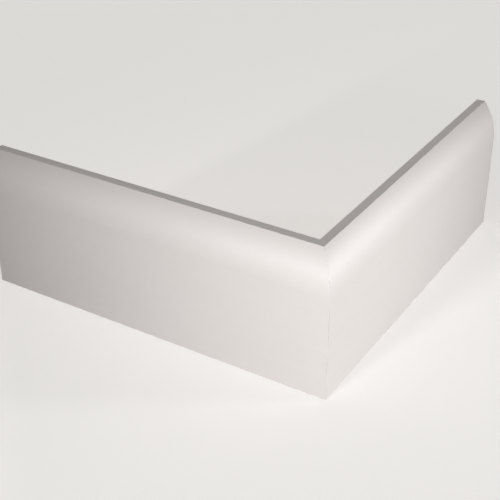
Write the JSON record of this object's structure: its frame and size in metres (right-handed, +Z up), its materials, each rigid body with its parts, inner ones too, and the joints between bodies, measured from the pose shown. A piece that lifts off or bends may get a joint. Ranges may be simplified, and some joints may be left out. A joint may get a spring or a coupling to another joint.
{
  "type": "mdf skirting board corner",
  "caption": "White primed MDF skirting board with a large round up to a narrow flat top edge, mitred at right angles to turn an outside wall corner at floor level.",
  "frame": {"origin": "foot of the wall corner: the point at floor level where the back faces of both boards meet", "axes": "+Z up; the left board runs along -X with its back to +Y, the right board along +Y with its back to -X"},
  "size_m": [0.25, 0.25, 0.095],
  "materials": {
    "white_primer": "satin"
  },
  "bodies": {
    "root": {"left_board": "white_primer", "right_board": "white_primer"}
  },
  "joints": []
}
